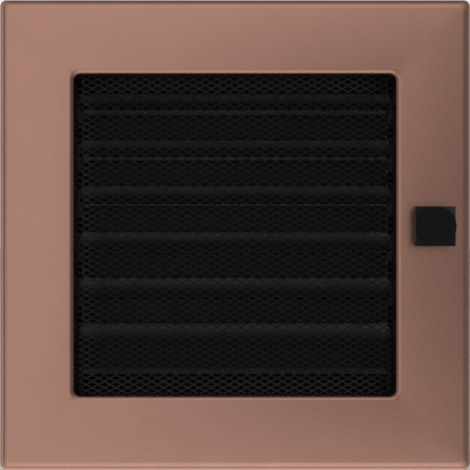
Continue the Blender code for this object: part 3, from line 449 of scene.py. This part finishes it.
class Finish(Tree):
    """A material's node tree, with short calls for the textures used here."""

    def __init__(self, name, colour, metallic, roughness, specular=0.5):
        self.material = bpy.data.materials.new(name)
        super().__init__(self.material)
        self.shader = self.tree.nodes["Principled BSDF"]
        self.colour = colour
        self.shader.inputs["Base Color"].default_value = (*colour, 1.0)
        self.shader.inputs["Metallic"].default_value = metallic
        self.shader.inputs["Roughness"].default_value = roughness
        self.shader.inputs["Specular IOR Level"].default_value = specular
        coordinates = self.add("ShaderNodeTexCoord").outputs
        self.place = coordinates["Object"]
        self.facing = coordinates["Normal"]
        self.relief = None

    def along(self, vector, axis):
        """One coordinate of the place or of the way that the surface faces."""
        split = self.add("ShaderNodeSeparateXYZ")
        self.feed(split.inputs[0], vector)
        return split.outputs[axis]

    def stretched(self, stretch):
        """The place with each coordinate multiplied, which makes the pattern finer that way."""
        mapping = self.add("ShaderNodeMapping")
        self.feed(mapping.inputs["Vector"], self.place)
        mapping.inputs["Scale"].default_value = stretch
        return mapping.outputs["Vector"]

    def noise(self, size, stretch=(1.0, 1.0, 1.0), detail=3.0, rough=0.5):
        """Noise between 0 and 1 whose lumps are about this size."""
        node = self.add("ShaderNodeTexNoise")
        self.feed(node.inputs["Vector"], self.stretched(stretch))
        node.inputs["Scale"].default_value = 1 / size
        node.inputs["Detail"].default_value = detail
        node.inputs["Roughness"].default_value = rough
        return node.outputs["Fac"]

    def cells(self, size, stretch=(1.0, 1.0, 1.0)):
        """A random grey for each cell of about this size."""
        node = self.add("ShaderNodeTexVoronoi")
        self.feed(node.inputs["Vector"], self.stretched(stretch))
        node.inputs["Scale"].default_value = 1 / size
        split = self.add("ShaderNodeSeparateColor")
        self.feed(split.inputs["Color"], node.outputs["Color"])
        return split.outputs["Red"]

    def ranged(self, value, low, high, source_low=NOISE_LOW, source_high=NOISE_HIGH):
        """Change a value evenly from low to high while its source goes between two limits."""
        node = self.add("ShaderNodeMapRange")
        self.feed(node.inputs["Value"], value)
        node.inputs["From Min"].default_value = source_low
        node.inputs["From Max"].default_value = source_high
        node.inputs["To Min"].default_value = low
        node.inputs["To Max"].default_value = high
        return node.outputs["Result"]

    def tint(self, factor, previous=None):
        """Multiply the base colour by a factor that varies."""
        mix = self.add("ShaderNodeVectorMath", operation="SCALE")
        self.feed(mix.inputs[0], self.colour if previous is None else previous)
        self.feed(mix.inputs["Scale"], factor)
        self.feed(self.shader.inputs["Base Color"], mix.outputs["Vector"])
        return mix.outputs["Vector"]

    def gloss(self, roughness):
        """Let the roughness vary."""
        self.feed(self.shader.inputs["Roughness"], roughness)

    def bump(self, height, distance, strength=1.0):
        """Fine relief on top of the relief that is there."""
        node = self.add("ShaderNodeBump")
        node.inputs["Distance"].default_value = distance
        node.inputs["Strength"].default_value = strength
        self.feed(node.inputs["Height"], height)
        if self.relief is not None:
            self.feed(node.inputs["Normal"], self.relief)
        self.relief = node.outputs["Normal"]
        self.feed(self.shader.inputs["Normal"], self.relief)


def rim_gain(finish, change, bottom=True):
    """Factor that changes with the distance from the middle of the opening, in a square."""
    across = finish.compute("ABSOLUTE", finish.along(finish.place, "X"))
    upward = finish.along(finish.place, "Z")
    if bottom:
        upward = finish.compute("ABSOLUTE", upward)
    return finish.ranged(finish.compute("MAXIMUM", across, upward), *change)


def copper_finish():
    """Satin copper plate with a fine grain, and with painted shade on the lip."""
    finish = Finish("copper_face", (0.607, 0.324, 0.250), metallic=1.0, roughness=0.2)
    patches = finish.noise(size=0.012, detail=2.0)
    varied = finish.tint(finish.ranged(patches, low=0.985, high=1.015))
    # Painted shade on the lip round the opening.
    finish.tint(rim_gain(finish, LIP_PAINTED_SHADE), varied)
    finish.gloss(finish.ranged(finish.noise(size=0.0009, detail=4.0), low=0.26, high=0.29))
    finish.bump(finish.noise(size=0.0004, detail=3.0), distance=0.0000012)
    return finish.material


def powder_coat(name, shade, roughness, specular):
    """Black coat with the fine orange peel of baked enamel, given with its varied colour."""
    finish = Finish(name, (shade, shade, shade), 0.0, roughness, specular)
    varied = finish.tint(finish.ranged(finish.noise(size=0.009), low=0.9, high=1.1))
    sheen = finish.noise(size=0.002)
    finish.gloss(finish.ranged(sheen, low=roughness - 0.06, high=roughness + 0.06))
    finish.bump(finish.noise(size=0.0005, detail=2.0), distance=0.000012)
    return finish, varied


def cassette_finish():
    """Dull black coat inside and round the cassette."""
    finish, _ = powder_coat("cassette_black", shade=0.0110, roughness=0.8, specular=0.04)
    return finish.material


def blade_finish():
    """Black enamel, with painted light on what faces up and on the strip under the next lip."""
    finish, varied = powder_coat("blade_black", shade=0.0076, roughness=0.40, specular=0.17)
    depth = finish.along(finish.place, "Y")
    height = finish.along(finish.place, "Z")
    # Painted light from above, on what faces up and changing with height.
    upward = finish.ranged(finish.along(finish.facing, "Z"), *PAINTED_LIGHT_FACING_UP)
    top_light = finish.ranged(height, *PAINTED_LIGHT_BY_HEIGHT)
    top_light = finish.compute("MULTIPLY", top_light, finish.ranged(height, *PAINTED_LIGHT_AT_BOTTOM))
    top_light = finish.compute("MULTIPLY", top_light, finish.ranged(height, *PAINTED_LIGHT_ON_FIRST_BLADE))
    # Painted shade in the hollow, where the painted light from above is taken out.
    front, back = finish.ranged(depth, *SHADED_HOLLOW_FRONT), finish.ranged(depth, *SHADED_HOLLOW_BACK)
    hollow_shade = finish.compute("MULTIPLY", front, back)
    hollow_shade = finish.compute("MULTIPLY", hollow_shade, finish.ranged(height, *SHADED_HOLLOW_BOTTOM))
    top_light = finish.compute("MULTIPLY", top_light, finish.compute("SUBTRACT", 1.0, hollow_shade))
    # Gain of the painted light from above.
    top_light_gain = finish.compute("MULTIPLY_ADD", upward, top_light, 1.0)
    # Painted shade toward the blades' front.
    nose_shade = finish.ranged(depth, *NOSE_PAINTED_SHADE)
    # Painted shade at the very bottom.
    foot_shade = finish.ranged(height, *FOOT_PAINTED_SHADE)
    # Painted light on the forward-facing strip under each lip.
    forward = finish.ranged(finish.along(finish.facing, "Y"), *STRIP_PAINTED_LIGHT_FACING)
    strip_light = finish.compute("MULTIPLY", forward, finish.ranged(depth, *STRIP_PAINTED_LIGHT_DEPTH))
    # Painted light from above, and painted shade toward the blades' front.
    varied = finish.tint(finish.compute("MULTIPLY", top_light_gain, nose_shade), varied)
    # Painted light on the strip, and painted shade at the very bottom.
    strip_light_and_foot_shade = finish.compute("MULTIPLY", finish.compute("ADD", strip_light, 1.0), foot_shade)
    varied = finish.tint(strip_light_and_foot_shade, varied)
    # Painted light toward the rim of the opening.
    finish.tint(rim_gain(finish, BLADE_RIM_PAINTED_LIGHT, bottom=False), varied)
    return finish.material


def mesh_finish():
    """Black enamel of the mesh, with painted light toward its rim and painted shade at both far
    sides.
    """
    finish, varied = powder_coat("mesh_black", shade=0.0068, roughness=0.45, specular=0.11)
    across = finish.along(finish.place, "X")
    height = finish.along(finish.place, "Z")
    # Painted light toward the rim of the opening.
    beside = finish.ranged(finish.compute("ABSOLUTE", across), *MESH_RIM_LIGHT_BESIDE)
    above = finish.ranged(height, *MESH_RIM_LIGHT_ABOVE)
    below = finish.ranged(height, *MESH_RIM_LIGHT_BELOW)
    # Painted shade at the far right and far left.
    right = finish.ranged(across, *MESH_PAINTED_SHADE_RIGHT)
    left = finish.ranged(across, *MESH_PAINTED_SHADE_LEFT)
    # Painted light toward the rim.
    rim = finish.compute("MAXIMUM", beside, finish.compute("MAXIMUM", above, below))
    varied = finish.tint(rim, varied)
    # Painted shade at both far sides.
    finish.tint(finish.compute("MULTIPLY", right, left), varied)
    return finish.material


def metal_finish(name, colour, roughness, stretch, grain, swing, height):
    """Bare or plated metal with rolling marks or grain along one direction."""
    finish = Finish(name, colour, metallic=1.0, roughness=roughness)
    broad = finish.ranged(finish.noise(size=0.006), low=1 - swing, high=1 + swing)
    streaks = finish.noise(grain, stretch, detail=5.0)
    marks = finish.ranged(streaks, low=1 - swing / 2, high=1 + swing / 2)
    finish.tint(marks, finish.tint(broad))
    sheen = finish.noise(grain * 2, stretch)
    finish.gloss(finish.ranged(sheen, low=roughness - 0.07, high=roughness + 0.1))
    finish.bump(streaks, height)
    return finish.material


def spangle_finish():
    """Hot dip galvanised sheet with its flower-like zinc crystals."""
    finish = Finish("galvanised_sheet", (0.50, 0.52, 0.54), metallic=1.0, roughness=0.35)
    crystals = finish.cells(size=0.0045)
    whole = {"source_low": 0.0, "source_high": 1.0}
    broad = finish.tint(finish.ranged(crystals, low=0.80, high=1.12, **whole))
    grain = finish.ranged(finish.noise(size=0.0012, detail=4.0), low=0.93, high=1.05)
    finish.tint(grain, broad)
    finish.gloss(finish.ranged(crystals, low=0.28, high=0.48, **whole))
    finish.bump(crystals, distance=0.00001, strength=0.5)
    finish.bump(finish.noise(size=0.0008, detail=4.0), distance=0.000006)
    return finish.material


def moulded_finish(name, colour, roughness, specular, grain, height):
    """Moulded plastic with the fine spark-eroded texture of its tool."""
    finish = Finish(name, colour, 0.0, roughness, specular)
    finish.tint(finish.ranged(finish.noise(size=0.003), low=0.92, high=1.08))
    sheen = finish.noise(grain * 3)
    finish.gloss(finish.ranged(sheen, low=roughness - 0.05, high=roughness + 0.05))
    finish.bump(finish.noise(grain, detail=4.0, rough=0.6), height)
    return finish.material


def cap_finish():
    """Black plastic, with painted light toward the knob's upper right corner."""
    finish = Finish("black_plastic", (0.0081, 0.0080, 0.0085), 0.0, 0.45, specular=0.15)
    varied = finish.tint(finish.ranged(finish.noise(size=0.003), low=0.92, high=1.08))
    # Painted light toward the upper right corner.
    across, height = finish.along(finish.place, "X"), finish.along(finish.place, "Z")
    diagonal = finish.compute("ADD", across, height)
    finish.tint(finish.ranged(diagonal, *CAP_PAINTED_LIGHT), varied)
    finish.gloss(finish.ranged(finish.noise(size=0.0006), low=0.40, high=0.50))
    finish.bump(finish.noise(size=0.0002, detail=4.0, rough=0.6), distance=0.00001)
    return finish.material


def felt_finish():
    """Pressed wool felt: matted short fibres."""
    finish = Finish("grey_felt", (0.08, 0.08, 0.08), 0.0, roughness=0.95, specular=0.2)
    fibres = finish.noise(size=0.00012, stretch=(1.0, 1.0, 5.0), detail=6.0, rough=0.7)
    finish.tint(finish.ranged(fibres, low=0.55, high=1.5))
    finish.bump(fibres, distance=0.00006)
    finish.shader.inputs["Sheen Weight"].default_value = 0.4
    return finish.material


# Colour, roughness, stretch of the marks, their size, the swing of the colour and the relief.
METALS = {
    "zinc_plated_steel": ((0.55, 0.56, 0.58), 0.30, (1.0, 1.0, 6.0), 0.0008, 0.08, 0.000004),
    "die_cast_zinc": ((0.42, 0.43, 0.45), 0.42, (1.0, 1.0, 1.0), 0.0004, 0.08, 0.000012),
    "spring_steel": ((0.30, 0.31, 0.34), 0.26, (1.0, 8.0, 1.0), 0.0010, 0.10, 0.000004),
    "nickel_magnet": ((0.60, 0.58, 0.55), 0.18, (1.0, 1.0, 1.0), 0.0005, 0.05, 0.000003),
}
# Colour, roughness, mirror strength, size of the texture and its relief.
PLASTICS = {
    "black_nylon": ((0.015, 0.015, 0.0155), 0.6, 0.1, 0.0003, 0.000006),
    "matt_black_disc": ((0.0048, 0.0048, 0.0048), 0.6, 0.15, 0.0002, 0.00001),
}
finishes = {
    "copper_face": copper_finish(),
    "mesh_black": mesh_finish(),
    "blade_black": blade_finish(),
    "cassette_black": cassette_finish(),
    "galvanised_sheet": spangle_finish(),
    "black_plastic": cap_finish(),
    "grey_felt": felt_finish(),
}
finishes.update({name: metal_finish(name, *look) for name, look in METALS.items()})
finishes.update({name: moulded_finish(name, *look) for name, look in PLASTICS.items()})


def apply_finishes():
    """Give every carried-over node the surface of its slot in the record."""
    for node in nodes.values():
        for slot in node.material_slots:
            slot.material = finishes[slot.material.name.split(".")[0]]


# Light, floor and camera.


class World(Tree):
    """The world's node tree, with short calls for brightness by direction."""

    def __init__(self):
        self.world = bpy.data.worlds.new("surroundings")
        super().__init__(self.world)
        self.tree.nodes.clear()

    def mixed(self, factor, first, second):
        """The first value where the factor is 0, and the second where it is 1."""
        node = self.add("ShaderNodeMix")
        self.feed(node.inputs[0], factor)
        self.feed(node.inputs[2], first)
        self.feed(node.inputs[3], second)
        return node.outputs[0]

    def ramp(self, angle, between):
        """Brightness at an angle, which is given as a share of half a turn."""
        values = (AHEAD, *between, BEHIND)
        node = self.add("ShaderNodeValToRGB")
        stops = node.color_ramp.elements
        while len(stops) < len(values):
            stops.new(1.0)
        for stop, degrees, value in zip(stops, LIGHT_ANGLES, values):
            stop.position = degrees / 180
            stop.color = (value, value, value, 1.0)
        self.feed(node.inputs[0], angle)
        return node.outputs[0]


def build_world():
    """Grey surroundings whose brightness changes softly with the direction, as in a photo tent."""
    made = World()
    bpy.context.scene.world = made.world
    split = made.add("ShaderNodeSeparateXYZ")
    made.feed(split.inputs[0], made.add("ShaderNodeTexCoord").outputs["Generated"])
    x, y, z = split.outputs
    ahead = made.compute("MULTIPLY", y, -1.0)
    angle = made.compute("DIVIDE", made.compute("ARCCOSINE", ahead), math.pi)
    across = made.compute("MULTIPLY", x, x)
    round_axis = made.compute("ADD", across, made.compute("MULTIPLY_ADD", z, z, ON_AXIS))
    share = made.compute("DIVIDE", across, round_axis)
    ramps = {side: made.ramp(angle, between) for side, between in LIGHT_BETWEEN.items()}
    sideways = made.mixed(made.compute("GREATER_THAN", x, 0.0), ramps["left"], ramps["right"])
    upright = made.mixed(made.compute("GREATER_THAN", z, 0.0), ramps["down"], ramps["up"])
    background = made.add("ShaderNodeBackground")
    made.feed(background.inputs["Strength"], made.mixed(share, upright, sideways))
    output = made.add("ShaderNodeOutputWorld")
    made.feed(output.inputs["Surface"], background.outputs[0])


def build_softbox():
    """Wide soft light overhead, which lights the floor and what faces up."""
    data = bpy.data.lights.new("overhead_softbox", "AREA")
    data.size = SOFTBOX_SIZE
    data.energy = SOFTBOX_POWER
    softbox = bpy.data.objects.new("overhead_softbox", data)
    bpy.context.scene.collection.objects.link(softbox)
    softbox.location = (0.0, 0.0, SOFTBOX_Z)
    softbox.visible_glossy = False


def build_floor():
    """Plain pale floor, which mirror rays don't see and which casts no shadow."""
    bm = bmesh.new()
    corners = [(-1, -1), (1, -1), (1, 1), (-1, 1)]
    bm.faces.new([bm.verts.new((x * FLOOR_REACH, y * FLOOR_REACH, FLOOR_Z)) for x, y in corners])
    finish = Finish("pale_floor", (0.90, 0.90, 0.90), 0.0, roughness=0.7, specular=0.2)
    finish.tint(finish.ranged(finish.noise(FLOOR_MOTTLE), low=0.99, high=1.01))
    floor = new_piece("floor", bm, finish.material)
    floor.visible_glossy = False
    floor.visible_shadow = False


def build_camera():
    """Camera straight in front of the face, as in the photo."""
    data = bpy.data.cameras.new("camera")
    data.sensor_width = SENSOR
    data.lens = LENS
    data.clip_start = CAMERA_CLIP
    camera = bpy.data.objects.new("camera", data)
    bpy.context.scene.collection.objects.link(camera)
    camera.location = (0.0, CAMERA_Y, 0.0)
    camera.rotation_euler = (math.pi / 2, 0.0, 0.0)
    bpy.context.scene.camera = camera


build_camera()
build_world()
build_softbox()
build_floor()
apply_finishes()
build_face(finishes["copper_face"])
build_mesh(finishes["mesh_black"])
build_studs(finishes["copper_face"])
build_knob(finishes)
bpy.context.scene.view_settings.view_transform = "Standard"
